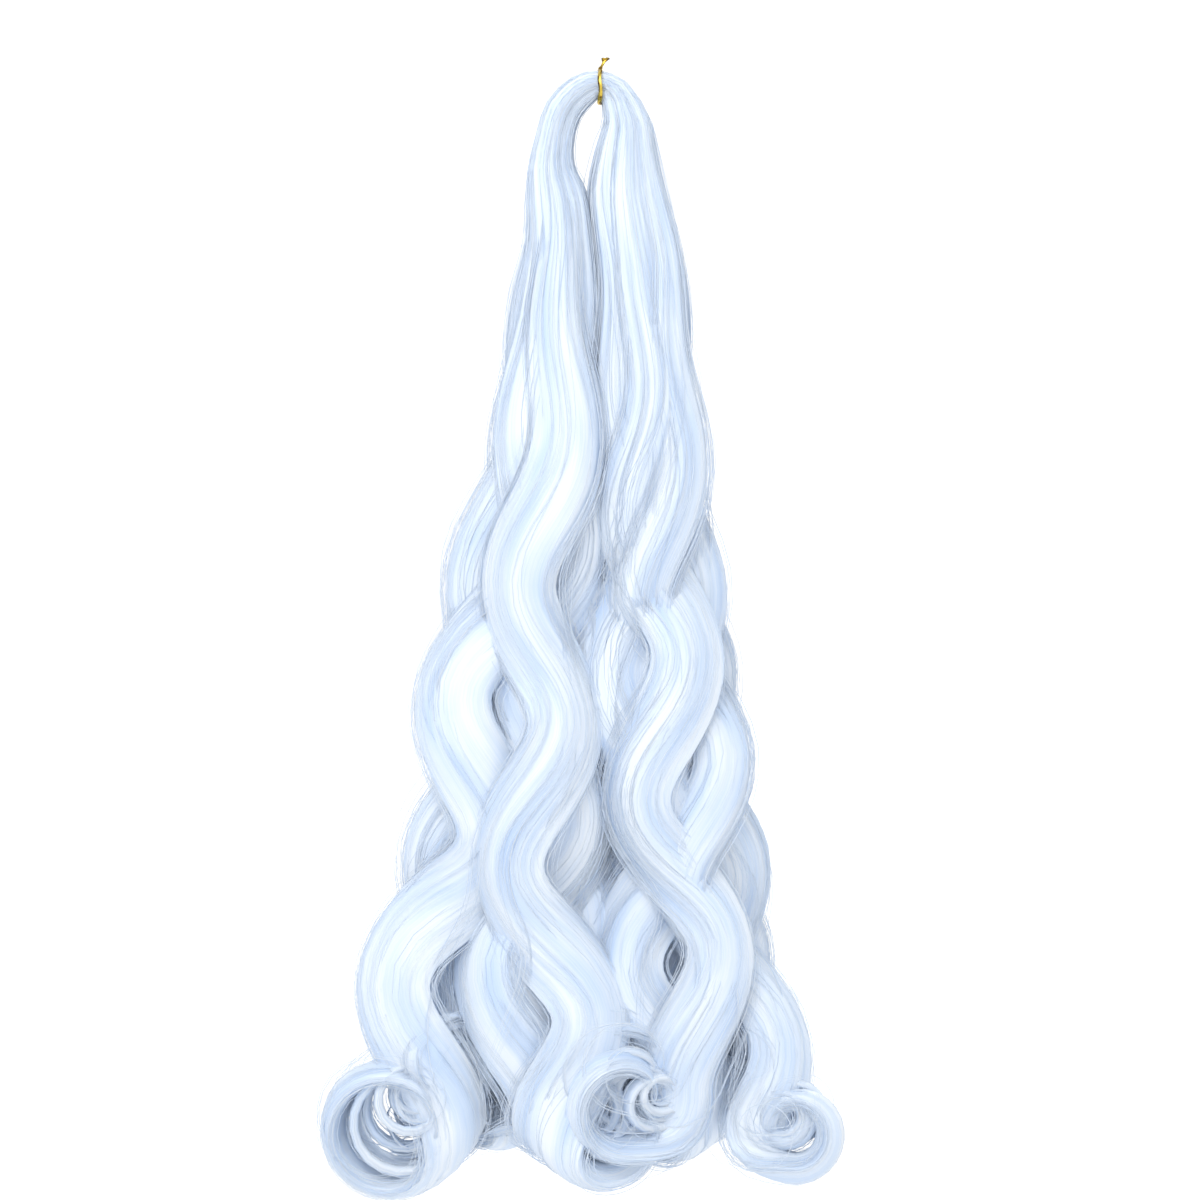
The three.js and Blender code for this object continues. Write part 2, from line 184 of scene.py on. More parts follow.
def catmull_rom(points, places):
    """Points of the centripetal Catmull-Rom curve, which goes through points[i] at place i."""
    knots = np.vstack([2 * points[0] - points[1], points, 2 * points[-1] - points[-2]])
    first = np.minimum(places.astype(int), len(points) - 2)
    share = (places - first)[:, None]
    p0, p1, p2, p3 = (knots[first + k] for k in range(4))
    d0, d1, d2 = (
        np.sqrt(np.linalg.norm(b - a, axis=1, keepdims=True)) for a, b in ((p0, p1), (p1, p2), (p2, p3))
    )
    leaving = ((p1 - p0) / d0 - (p2 - p0) / (d0 + d1) + (p2 - p1) / d1) * d1
    arriving = ((p2 - p1) / d1 - (p3 - p1) / (d1 + d2) + (p3 - p2) / d2) * d1
    square = -3 * p1 + 3 * p2 - 2 * leaving - arriving
    cube = 2 * p1 - 2 * p2 + leaving + arriving
    return p1 + share * (leaving + share * (square + share * cube))


def make_spine():
    """The middle line and the bundle round it, by distance from the fold's top (left is negative)."""
    levels = [(-1, *row) for row in reversed(LEFT_LEVELS)] + [(0, *FOLD_TOP)]
    levels += [(1, *row) for row in RIGHT_LEVELS]
    side, drop, middle, reach, depth = np.array(levels).T
    line = np.stack([side * middle * HANK_SPREAD, 0 * drop, -drop * HANK_LENGTH], axis=1)
    sizes = np.stack([reach * HANK_SPREAD, depth * HANK_DEPTH / 2, 0 * drop], axis=1)
    places = np.linspace(0, len(levels) - 1, LEVEL_STEPS * (len(levels) - 1) + 1)
    line = catmull_rom(line, places)
    sizes = catmull_rom(sizes, places)
    along = unit(np.gradient(line, axis=0))
    run = np.concatenate([[0], np.cumsum(np.linalg.norm(np.diff(line, axis=0), axis=1))])
    run -= run[LEVEL_STEPS * len(LEFT_LEVELS)]
    return {"run": run, "line": line, "along": along, "reach": sizes[:, 0], "depth": sizes[:, 1]}


SPINE = make_spine()


def spine_at(name, run):
    values = SPINE[name]
    if values.ndim == 1:
        return np.interp(run, SPINE["run"], values)
    return np.stack([np.interp(run, SPINE["run"], column) for column in values.T], axis=1)


def run_at_drop(drop, side):
    """How far from the fold's top the middle line comes down to a level, a share of HANK_LENGTH."""
    half = SPINE["run"] * side >= 0
    drops = -SPINE["line"][half, 2] / HANK_LENGTH
    runs = SPINE["run"][half]
    order = np.argsort(drops)
    return np.interp(drop, drops[order], runs[order])


# Paths of locks

def waved_part(wave, bundle_place, runs):
    """Places, wide directions and half sizes of a lock where it is waved, at distances on the line."""
    middle = spine_at("line", runs)
    along = unit(spine_at("along", runs))
    reach = spine_at("reach", runs)[:, None]
    depth = spine_at("depth", runs)[:, None]
    outward = np.stack([-along[:, 2], 0 * runs, along[:, 0]], axis=1)
    drop = -middle[:, 2:] / HANK_LENGTH
    fanned = ease(drop, FAN_FROM, FAN_TO)
    waved = ease(drop, WAVE_FROM, WAVE_TO)
    phase = (drop - wave["crest"]) * HANK_LENGTH * 2 * math.pi / WAVE_LENGTH
    half_width = mix(reach * BUNDLE_SHARE, LOCK_WIDTH * wave["width"] / 2, fanned)
    half_thickness = mix(depth * BUNDLE_SHARE, LOCK_THICKNESS / 2, fanned)
    lane = mix(bundle_place[0], mix(wave["lane"], wave["last_lane"], ease(drop, FAN_TO, 1)), fanned)
    layer = mix(bundle_place[1], wave["layer"], fanned)
    swing = WAVE_SWING * wave.get("swing", 1) * waved * np.cos(phase)
    rock = WAVE_ROCK * waved * np.cos(phase)
    place = middle + outward * (lane * (reach - half_width) + swing)
    to_front = WAVE_DEPTH * waved * wave["hand"] * np.sin(phase)
    place += Y_AXIS * (layer * (depth - half_thickness) + to_front)
    wide = outward * np.cos(rock) + Y_AXIS * np.sin(rock)
    return place, wide, half_width, half_thickness, along, 1 - fanned


def curled_part(curl, side, heading, last):
    """The same for the curl that carries on from the last waved station."""
    lean = math.radians(curl["lean"])
    axis = np.array([math.sin(lean), math.cos(lean), 0]) * (-side * curl["roll"])
    axis = square_to(axis, heading)
    across = np.cross(axis, heading)
    share = np.arange(1, CURL_STATIONS + 1)[:, None] / CURL_STATIONS
    turned = 2 * math.pi * curl["turns"] * share
    step = 2 * math.pi * curl["turns"] / CURL_STATIONS
    radius = CURL_RADIUS * curl["radius"] * mix(1, CURL_TIGHTENING, share**2)
    halfway = turned - step / 2
    moves = radius * step * (heading * np.cos(halfway) + across * np.sin(halfway))
    place = last["place"] + np.cumsum(moves, axis=0)
    slimming = mix(1, TIP_SHARE, share**2)
    opened = ease(turned / (2 * math.pi), 0, CURL_OPENING)
    wide_axis = axis * (1 if axis @ last["wide"] >= 0 else -1)
    wide = mix(last["wide"], wide_axis, opened)
    return place, wide, last["half_width"] * slimming, last["half_thickness"] * slimming


def half_path(lock, bundle_place, side):
    """One hanging end of a lock or wisp, from the top of the fold down to the tip of its curl."""
    lowest = run_at_drop(lock["level"], side)
    runs = lowest * (np.arange(WAVE_STATIONS + 1) / WAVE_STATIONS) ** CROWDING
    place, wide, half_width, half_thickness, along, bundled = waved_part(lock, bundle_place, runs)
    last = {
        "place": place[-1],
        "wide": wide[-1],
        "half_width": half_width[-1],
        "half_thickness": half_thickness[-1],
    }
    curl = curled_part(lock, side, unit(place[-1] - place[-2]), last)
    none = np.zeros((CURL_STATIONS, 1))
    return {
        "place": np.vstack([place, curl[0]]),
        "wide": np.vstack([wide, curl[1]]),
        "half_width": np.vstack([half_width, curl[2]]),
        "half_thickness": np.vstack([half_thickness, curl[3]]),
        "facing": np.vstack([along, none * np.ones(3)]),
        "bundled": np.vstack([bundled, none]),
    }


def whole_path(left_lock, right_lock, bundle_place):
    """The whole run of a lock or wisp, from its left tip over the fold to its right tip."""
    left = half_path(left_lock, bundle_place, -1)
    right = half_path(right_lock, bundle_place, 1)
    path = {name: np.vstack([left[name][::-1], right[name][1:]]) for name in left}
    along = unit(np.gradient(path["place"], axis=0))
    along = unit(mix(along, path["facing"], path["bundled"]))
    wide = square_to(path["wide"], along)
    steps = np.linalg.norm(np.diff(path["place"], axis=0), axis=1)
    return {
        "place": path["place"],
        "across": wide * path["half_width"],
        "through": np.cross(along, wide) * path["half_thickness"],
        "loose": 1 - path["bundled"],
        "run": np.concatenate([[0], np.cumsum(steps)]),
    }


def as_lock(row):
    return dict(zip(WAVE_NAMES + CURL_NAMES, row))


# How far a wisp strays from its lock: a usual change, or a least and a greatest one.
STRAY_CREST = 0.006
STRAY_LANE = 0.04
STRAY_LAST_LANE = 0.06
STRAY_SWING = 0.07
STRAY_LEVEL = (-0.02, 0.006)
STRAY_TURNS = (-0.15, 0.35)
STRAY_RADIUS = (0, 0.3)
STRAY_LEAN = 11
TIGHT_TURNS = 0.5  # added to the turns of the tightest wisp inside a curl
TIGHT_RADIUS = 0.6  # taken off its radius


def varied(lock, looseness, tightness=0):
    """The same end with its waves and curl a little different, as for a wisp of the lock."""
    wisp = dict(lock)
    wisp["crest"] += rng.normal(0, STRAY_CREST) * looseness
    wisp["lane"] += rng.normal(0, STRAY_LANE) * looseness
    wisp["last_lane"] += rng.normal(0, STRAY_LAST_LANE) * looseness
    wisp["swing"] = 1 + rng.normal(0, STRAY_SWING) * looseness
    wisp["level"] += rng.uniform(*STRAY_LEVEL) * looseness
    wisp["turns"] += rng.uniform(*STRAY_TURNS) * looseness + TIGHT_TURNS * tightness
    wisp["radius"] *= 1 - rng.uniform(*STRAY_RADIUS) * looseness - TIGHT_RADIUS * tightness
    wisp["lean"] += rng.normal(0, STRAY_LEAN) * looseness
    return wisp


# Meshes

def ring_grid(rings, runs):
    """Quads and their UVs for closed tubes: rings is (tubes, stations, sides, 3)."""
    tubes, stations, sides, _ = rings.shape
    corner = np.arange(tubes * stations * sides).reshape(tubes, stations, sides)
    following = np.roll(corner, -1, axis=2)
    quads = np.stack([corner[:, :-1], following[:, :-1], following[:, 1:], corner[:, 1:]], axis=-1)
    girth = np.linalg.norm(rings - np.roll(rings, -1, axis=2), axis=3).sum(axis=2)
    around = np.median(girth, axis=1)[:, None, None] * np.arange(sides + 1) / sides
    around = np.broadcast_to(around, (tubes, stations, sides + 1))
    down = np.broadcast_to(runs[:, :, None], (tubes, stations, sides + 1))
    uv = np.stack([around, down], axis=-1)
    start = uv[:, :, :-1]
    end = uv[:, :, 1:]
    uvs = np.stack([start[:, :-1], end[:, :-1], end[:, 1:], start[:, 1:]], axis=-2)
    caps = np.concatenate([corner[:, 0, ::-1], corner[:, -1]])
    cap_uvs = np.concatenate([start[:, 0], start[:, -1]])
    return quads.reshape(-1, 4), uvs.reshape(-1, 2), caps, cap_uvs.reshape(-1, 2)


def tube_mesh(name, groups):
    """One mesh from groups of tubes, each (rings, runs), hung from the origin."""
    points, loops, sizes, uvs = [], [], [], []
    offset = 0
    for rings, runs in groups:
        quads, quad_uvs, caps, cap_uvs = ring_grid(rings, runs)
        points.append(rings.reshape(-1, 3))
        loops += [quads.ravel() + offset, caps.ravel() + offset]
        sizes += [np.full(len(quads), 4), np.full(len(caps), caps.shape[1])]
        uvs += [quad_uvs, cap_uvs]
        offset += points[-1].shape[0]
    points = np.concatenate(points) + HANG
    loops = np.concatenate(loops)
    sizes = np.concatenate(sizes)
    mesh = bpy.data.meshes.new(name)
    mesh.vertices.add(len(points))
    mesh.vertices.foreach_set("co", points.ravel())
    mesh.loops.add(len(loops))
    mesh.loops.foreach_set("vertex_index", loops)
    mesh.polygons.add(len(sizes))
    mesh.polygons.foreach_set("loop_start", np.concatenate([[0], np.cumsum(sizes)[:-1]]))
    mesh.polygons.foreach_set("use_smooth", np.ones(len(sizes), dtype=bool))
    mesh.update(calc_edges=True)
    layer = mesh.uv_layers.new(name="fibre")
    layer.data.foreach_set("uv", np.concatenate(uvs).ravel())
    return mesh


def add_piece(mesh, material, node):
    piece = bpy.data.objects.new(mesh.name, mesh)
    bpy.context.scene.collection.objects.link(piece)
    mesh.materials.append(material)
    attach(piece, "root")
    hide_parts(node)


# Bodies of the locks

LOCK_BODY = 0.95  # of the lock's section, to leave room for the strands on it
LOCK_FOLDS = ((2, 0.05), (3, 0.04), (5, 0.03), (8, 0.018), (13, 0.011), (21, 0.006), (31, 0.003))
FOLD_TURNING = (5, 0.4)  # waves along the lock, and their size
FOLD_SWELLING = (6, 0.4)
LOCK_TAPER = (15, 0.04)  # stations from a tip to the full size, and the size at the tip
EDGE_THINNING = 0.8
DRIFT_WAVES = 9
DRIFT = (0.0022, 0.001, 0.001)  # of a lock's middle to the side, in depth and in height
SWELLING = (12, 0.06)


def chance_form():
    """How one lock and all that lies on it drifts and swells by chance."""
    drift = np.stack([wander(1, STATIONS, DRIFT_WAVES, size)[0] for size in DRIFT], axis=1)
    return drift, wander(1, STATIONS, *SWELLING).T


def roughened(path, form):
    """The same path made uneven, as far as the locks hang loose."""
    drift, swelling = form
    loose = path["loose"]
    swollen = 1 + loose * swelling
    return dict(
        path,
        place=path["place"] + loose * drift,
        across=path["across"] * swollen,
        through=path["through"] * swollen,
    )


def tip_taper(stations, length, least):
    """1 along a run and down to least at its two ends."""
    place = np.arange(stations)
    from_end = np.minimum(place, stations - 1 - place)
    return mix(least, 1, ease(from_end, -length / 3, length))


def bundle_place(index):
    """Where a lock lies in the bundle over the fold: round its rim, the first one in front."""
    angle = 2 * math.pi * index / len(LEFT_LOCKS) - math.pi / 2
    return (math.cos(angle), math.sin(angle))


def lock_rings(path):
    """The lock's own body, thin at its edges, with soft folds and fine grooves that run along it."""
    angles = 2 * math.pi * np.arange(LOCK_SIDES) / LOCK_SIDES
    radius = np.full((STATIONS, LOCK_SIDES), LOCK_BODY)
    for folds, size in LOCK_FOLDS:
        turning = wander(1, STATIONS, *FOLD_TURNING)[0][:, None]
        strength = 1 + wander(1, STATIONS, *FOLD_SWELLING)[0][:, None]
        radius += size * strength * np.cos(folds * (angles + turning) + rng.uniform(0, 2 * math.pi))
    radius *= tip_taper(STATIONS, *LOCK_TAPER)[:, None]
    through = np.sin(angles) * np.abs(np.sin(angles)) ** (EDGE_THINNING * path["loose"])
    return (
        path["place"][:, None]
        + path["across"][:, None] * (radius * np.cos(angles))[:, :, None]
        + path["through"][:, None] * (radius * through)[:, :, None]
    )


# Wisps. Strands follow them, and those inside the curls are also seen themselves.

STREAK_SHIFT = 5  # metres, at most, along the material's streaks, so that no two wisps look the same
WISP_TAPER = (20, 0.2)
WISP_TURNING = (4, 0.2)
LOOSE_SPACING = 0.3  # of the step from one wisp to the next, to either side
LOOSE_LIFT = 0.94  # of the lock's section
LOOSE_BREATHING = (5, 0.03)
LOOSE_HALVES = (0.3, 0.12)  # of a wisp round its lock and out from it, as shares of the lock's halves
LOOSE_SIZE = (0.6, 1.1)
CURL_WISP_HALF = 0.36
CURL_WISP_TAPER = (14, 0.05)
CURL_WISP_SPACING = (0.3, 0.7)
CURL_WISP_LOOSENESS = 0.7

# Pairs of locks that wisps cross between, from the first to the second, and 1 for in front or -1 behind.
CROSSINGS = (
    (0, 6, 1), (6, 0, 1), (0, 1, 1), (1, 0, 1), (6, 5, 1), (5, 6, 1), (1, 2, 1), (2, 1, 1),
    (3, 4, -1), (4, 3, -1), (2, 3, -1), (4, 5, -1),
)
CROSSING_START = (20, 60)  # stations down from the fold
CROSSING_RUN = (24, 38)
CROSSING_MIDDLE = 14  # stations after its start
CROSSING_SPREAD = 0.45  # radians
CROSSING_LIFT = 1.02
CROSSING_HALVES = (0.4, 0.16)
CROSSING_SIZE = (0.7, 1.2)


def wisp_frames(path, angle, lift, wide, thick):
    """Middle and half axes of a wisp at a place in its lock's section, given by angle and lift."""
    across, through = path["across"], path["through"]
    cos, sin = np.cos(angle)[:, None], np.sin(angle)[:, None]
    outward = across * cos + through * sin
    return {
        "middle": path["place"] + lift[:, None] * outward,
        "round": (through * cos - across * sin) * wide[:, None],
        "out": outward * thick[:, None],
    }


def lock_wisps(index, form):
    """Frames of the loose wisps that some of a lock's strands follow."""
    left_lock, right_lock = as_lock(LEFT_LOCKS[index]), as_lock(RIGHT_LOCKS[index])
    turning = wander(LOOSE_WISPS, STATIONS, *WISP_TURNING)
    breathing = wander(LOOSE_WISPS, STATIONS, *LOOSE_BREATHING)
    half_width, half_thickness = LOOSE_HALVES
    wisps = []
    for i in range(LOOSE_WISPS):
        place = i + rng.uniform(-LOOSE_SPACING, LOOSE_SPACING)
        angle = 2 * math.pi * place / LOOSE_WISPS + turning[i]
        path = whole_path(varied(left_lock, 1), varied(right_lock, 1), bundle_place(index))
        path = roughened(path, form)
        size = rng.uniform(*LOOSE_SIZE) * tip_taper(STATIONS, *WISP_TAPER)
        lift = LOOSE_LIFT + breathing[i]
        wisps.append(wisp_frames(path, angle, lift, half_width * size, half_thickness * size))
    return wisps


def curl_wisps(index, form):
    """Frames of short wisps that roll up inside the curls at one lock's two tips."""
    left_lock, right_lock = as_lock(LEFT_LOCKS[index]), as_lock(RIGHT_LOCKS[index])
    half = CURL_WISP_HALF * tip_taper(CURL_WISP_STATIONS, *CURL_WISP_TAPER)[:, None]
    wisps = []
    for i in range(CURL_WISPS):
        tightness = (i + rng.uniform(*CURL_WISP_SPACING)) / CURL_WISPS
        left_end = varied(left_lock, CURL_WISP_LOOSENESS, tightness)
        right_end = varied(right_lock, CURL_WISP_LOOSENESS, tightness)
        path = roughened(whole_path(left_end, right_end, bundle_place(index)), form)
        for end in (slice(CURL_WISP_STATIONS), slice(-CURL_WISP_STATIONS, None)):
            wisps.append({
                "middle": path["place"][end],
                "round": path["across"][end] * half,
                "out": path["through"][end] * half,
                "run": path["run"][end],
            })
    return wisps


def crossing_wisps(paths):
    """Frames that leave one lock for its neighbour on their way down, and how far down they cross."""
    from_top = np.abs(np.arange(STATIONS) - STATIONS // 2)
    lift = np.full(STATIONS, CROSSING_LIFT)
    half_width, half_thickness = CROSSING_HALVES
    wisps = []
    for first, second, front in CROSSINGS * CROSSINGS_EACH:
        start = rng.uniform(*CROSSING_START)
        crossed = ease(from_top, start, start + rng.uniform(*CROSSING_RUN))[:, None]
        first_angle = front * math.pi / 2 + rng.normal(0, CROSSING_SPREAD)
        angle = first_angle + wander(1, STATIONS, *WISP_TURNING)[0]
        size = rng.uniform(*CROSSING_SIZE) * tip_taper(STATIONS, *WISP_TAPER)
        before, after = (
            wisp_frames(paths[index], angle, lift, half_width * size, half_thickness * size)
            for index in (first, second)
        )
        wisp = {name: mix(before[name], after[name], crossed) for name in before}
        wisps.append((wisp, start + CROSSING_MIDDLE))
    return wisps


def wisp_rings(wisps):
    angles = 2 * math.pi * np.arange(CURL_WISP_SIDES) / CURL_WISP_SIDES
    cos, sin = np.cos(angles)[None, :, None], np.sin(angles)[None, :, None]
    rings = [w["middle"][:, None] + w["round"][:, None] * cos + w["out"][:, None] * sin for w in wisps]
    runs = [w["run"] + rng.uniform(0, STREAK_SHIFT) for w in wisps]
    return np.array(rings), np.array(runs)


# Strands

STRAND_RADIUS = (0.0001, 0.0002)
STRAND_TIP = 0.15  # of its radius
STRAND_TILT = 0.01  # keeps the side of a strand that runs along Y from vanishing
STRAND_TURNING = (2, 0.25)

# Where strands begin and how long they are, in stations. Those near a tip are short, to follow its curl.
TIP_STRANDS = 0.35  # of all
TIP_STRAND_START = (0, 12)
TIP_STRAND_SPAN = (26, 46)
STRAND_START = (CURL_STATIONS - 6, STATIONS // 2)
STRAND_SPAN = (32, 60)

# Of a lock's strands, some stand off its two edges, some follow its wisps and the rest lie on its face.
EDGE_STRANDS = 0.3
WISP_STRANDS = 0.35
FACE_LIFT = (0.97, 1.03)
EDGE_SPREAD = 0.25  # radians
EDGE_LIFT = 0.12

CROSSING_HALF_SPAN = (22, 30)
CROSSING_STRAND_LIFT = (0.3, 1.2)
CURL_STRAND_START = (0, 6)
CURL_STRAND_END = (30, CURL_WISP_STATIONS - 1)
CURL_STRAND_LIFT = (1, 2.2)
FLYAWAY_START = (0, 62)
FLYAWAY_SPAN = (16, 50)
FLYAWAY_LIFT = (0.2, 1.3)
FLYAWAY_LEAST_LIFT = 1.05
FLYAWAY_SPREAD = 0.8  # radians
FLYAWAY_RADIUS = (0.00007, 0.00016)


def along_wisp(wisp, name, places):
    stations = np.arange(len(wisp[name]))
    return np.stack([np.interp(places, stations, column) for column in wisp[name].T], axis=1)


def strand(wisp, start, end, angle, lift, radius):
    """Rings of a single strand that lies on a wisp, lift being 1 on its surface."""
    places = np.linspace(start, end, STRAND_STATIONS)
    middle = along_wisp(wisp, "middle", places)
    round_axis = along_wisp(wisp, "round", places)
    out_axis = along_wisp(wisp, "out", places)
    angle = angle + wander(1, STRAND_STATIONS, *STRAND_TURNING)[0]
    aside = round_axis * np.cos(angle)[:, None] + out_axis * np.sin(angle)[:, None]
    line = middle + lift[:, None] * aside
    along = unit(np.gradient(line, axis=0))
    side = square_to(np.broadcast_to(Y_AXIS, along.shape) + STRAND_TILT * round_axis, along)
    other = np.cross(along, side)
    share = np.linspace(0, 1, STRAND_STATIONS)
    sizes = (radius * (STRAND_TIP + (1 - STRAND_TIP) * np.sin(math.pi * share) ** 0.5))[:, None]
    corners = 2 * math.pi * np.arange(STRAND_SIDES) / STRAND_SIDES
    rings = [line + sizes * (side * math.cos(a) + other * math.sin(a)) for a in corners]
    length = np.concatenate([[0], np.cumsum(np.linalg.norm(np.diff(line, axis=0), axis=1))])
    return np.stack(rings, axis=1), length + rng.uniform(0, STREAK_SHIFT)


def strand_range():
    """The stations where a strand of a lock begins and ends."""
    if rng.random() < TIP_STRANDS:
        start, span = rng.uniform(*TIP_STRAND_START), rng.uniform(*TIP_STRAND_SPAN)
    else:
        start, span = rng.uniform(*STRAND_START), rng.uniform(*STRAND_SPAN)
    if rng.random() < 0.5:
        return start, start + span
    return STATIONS - 1 - start - span, STATIONS - 1 - start


def surface_strands(path, wisps):
    """Strands on a lock: over its face, past its two edges and on its wisps."""
    body = {"middle": path["place"], "round": path["across"], "out": path["through"]}
    swell = np.sin(math.pi * np.linspace(0, 1, STRAND_STATIONS)) ** 2
    strands = []
    for _ in range(STRANDS_PER_LOCK):
        kind = rng.random()
        base, angle, lift = body, rng.uniform(0, 2 * math.pi), rng.uniform(*FACE_LIFT) + 0 * swell
        if kind > 1 - EDGE_STRANDS:
            angle = rng.normal(0, EDGE_SPREAD) + math.pi * rng.integers(2)
            lift = 1 + abs(rng.normal(0, EDGE_LIFT)) * swell
        elif kind > 1 - EDGE_STRANDS - WISP_STRANDS:
            base, angle = wisps[rng.integers(len(wisps))], rng.uniform(0, math.pi)
        start, end = strand_range()
        strands.append(strand(base, start, end, angle, lift, rng.uniform(*STRAND_RADIUS)))
    return strands


def crossing_strands(wisps):
    """Strands from one lock to another, which end before the curls."""
    strands = []
    for wisp, crossed_at in wisps:
        for _ in range(STRANDS_PER_CROSSING):
            middle = STATIONS // 2 + rng.choice((-1, 1)) * crossed_at
            half_span = rng.uniform(*CROSSING_HALF_SPAN)
            start = max(middle - half_span, CURL_STATIONS)
            end = min(middle + half_span, STATIONS - 1 - CURL_STATIONS)
            lift = np.full(STRAND_STATIONS, rng.uniform(*CROSSING_STRAND_LIFT))
            angle = rng.uniform(0, math.pi)
            strands.append(strand(wisp, start, end, angle, lift, rng.uniform(*STRAND_RADIUS)))
    return strands


def curl_strands(wisps):
    strands = []
    for wisp in wisps:
        for _ in range(STRANDS_PER_CURL_WISP):
            start, end = rng.uniform(*CURL_STRAND_START), rng.uniform(*CURL_STRAND_END)
            lift = np.full(STRAND_STATIONS, rng.uniform(*CURL_STRAND_LIFT))
            angle = rng.uniform(0, 2 * math.pi)
            strands.append(strand(wisp, start, end, angle, lift, rng.uniform(*STRAND_RADIUS)))
    return strands


def flyaways(all_wisps):
    """Thin strands that bow out of the wisps."""
    swell = np.sin(math.pi * np.linspace(0, 1, STRAND_STATIONS)) ** 2
    strands = []
    for _ in range(FLYAWAYS):
        wisps = all_wisps[rng.integers(len(all_wisps))]
        wisp = wisps[rng.integers(len(wisps))]
        span = rng.uniform(*FLYAWAY_SPAN)
        near_left = rng.random() < 0.5
        from_tip = rng.uniform(*FLYAWAY_START)
        start = from_tip if near_left else STATIONS - 1 - span - from_tip
        lift = FLYAWAY_LEAST_LIFT + rng.uniform(*FLYAWAY_LIFT) * swell
        angle = rng.normal(math.pi / 2, FLYAWAY_SPREAD)
        strands.append(strand(wisp, start, start + span, angle, lift, rng.uniform(*FLYAWAY_RADIUS)))
    return strands


def as_group(strands):
    return np.array([rings for rings, _ in strands]), np.array([run for _, run in strands])


# The hair

def add_hair(name, groups, material):
    add_piece(tube_mesh(name, groups), material, "hair_hank")


def make_hair(material):
    forms = [chance_form() for _ in LEFT_LOCKS]
    paths = [
        roughened(whole_path(as_lock(left), as_lock(right), bundle_place(index)), form)
        for index, (left, right, form) in enumerate(zip(LEFT_LOCKS, RIGHT_LOCKS, forms))
    ]
    all_wisps = []
    strands = []
    for index, path in enumerate(paths):
        wisps = lock_wisps(index, forms[index])
        rolled = curl_wisps(index, forms[index])
        body = (lock_rings(path)[None], path["run"][None])
        add_hair(f"hair_lock_{index + 1}", [body, wisp_rings(rolled)], material)
        all_wisps.append(wisps)
        strands += surface_strands(path, wisps) + curl_strands(rolled)
    strands += crossing_strands(crossing_wisps(paths))
    for i in range(STRAND_PIECES):
        add_hair(f"hair_strands_{i + 1}", [as_group(strands[i::STRAND_PIECES])], material)
    add_hair("hair_flyaways", [as_group(flyaways(all_wisps))], material)


# The twist tie

# The strip's section, from edge to edge and through, as shares of half its width and thickness.
STRIP_PROFILE = [
    (-1, -0.16), (-0.42, -0.2), (-0.24, -0.85), (0, -1), (0.24, -0.85), (0.42, -0.2),
    (1, -0.16), (1, 0.16), (0.42, 0.2), (0.24, 0.85), (0, 1), (-0.24, 0.85), (-0.42, 0.2), (-1, 0.16),
]

TIE_LOOP_STATIONS = 73
TIE_END_STATIONS = 33
TIE_WAVE = 0.0003  # of the loop to the side
TIE_WAVES = 4  # round the loop
TIE_ROLL = 0.75  # radians, by which the loop's strip turns on its edge in front
TIE_CRUMPLE = 0.12  # radians, of the strip's own unevenness
TIE_CRUMPLES = 3
NEAR_FOLD_TOP = 0.02


def strip_rings(line, wide, along):
    """The tie's section, thin film with a wire along its middle, swept along a line."""
    wide = square_to(wide, along)
    thin = np.cross(along, wide)
    rings = [
        line + wide * (TIE_WIDTH / 2 * across) + thin * (TIE_THICKNESS / 2 * through)
        for across, through in STRIP_PROFILE
    ]
    run = np.concatenate([[0], np.cumsum(np.linalg.norm(np.diff(line, axis=0), axis=1))])
    return np.stack(rings, axis=1)[None], run[None]


def bundle_under_tie():
    """Highest, lowest and deepest reach of the bundle where the tie goes round it."""
    near = np.abs(SPINE["run"]) < NEAR_FOLD_TOP
    line, along = SPINE["line"][near], SPINE["along"][near]
    outward = np.stack([-along[:, 2], 0 * along[:, 0], along[:, 0]], axis=1)
    edges = np.concatenate([line + hand * outward * SPINE["reach"][near][:, None] for hand in (-1, 1)])
    depths = np.concatenate([SPINE["depth"][near]] * 2)
    under = np.abs(edges[:, 0]) < TIE_WIDTH / 2 + TIE_CLEARANCE
    return edges[under, 2].max(), edges[under, 2].min(), depths[under].max()


def loop_strip(fold_middle, half_height, half_depth):
    """The strip's loop round the folded hair, which sways and turns partly on its edge in front."""
    turn = np.linspace(0, 2 * math.pi, TIE_LOOP_STATIONS)
    sway = TIE_WAVE * np.sin(TIE_WAVES * turn)
    line = np.stack([sway, -half_depth * np.sin(turn), fold_middle + half_height * np.cos(turn)], axis=1)
    along = unit(np.gradient(line, axis=0))
    along[0] = along[-1] = (0, -1, 0)
    roll = TIE_ROLL * np.sin(turn) ** 2 + TIE_CRUMPLE * np.sin(TIE_CRUMPLES * turn)
    wide = np.stack([np.cos(roll), -np.sin(turn) * np.sin(roll), np.cos(turn) * np.sin(roll)], axis=1)
    return strip_rings(line, wide, along)


def end_strip(loop_top, start):
    """One of the two ends that stand up from the loop and are twisted round each other."""
    share = np.linspace(0, 1, TIE_END_STATIONS)[:, None]
    angle = start + 2 * math.pi * TIE_TURNS * (share - 1)
    aside = np.hstack([np.cos(angle), np.sin(angle), 0 * angle])
    offset = mix(TIE_THICKNESS / 3, TIE_SPREAD / 2, share**2)
    line = np.hstack([TIE_LEAN * share, 0 * share, mix(loop_top, TIE_RISE, share)]) + aside * offset
    wide = mix(np.stack([-aside[:, 1], aside[:, 0], 0 * aside[:, 0]], axis=1), aside, share**2)
    return strip_rings(line, wide, unit(np.gradient(line, axis=0)))


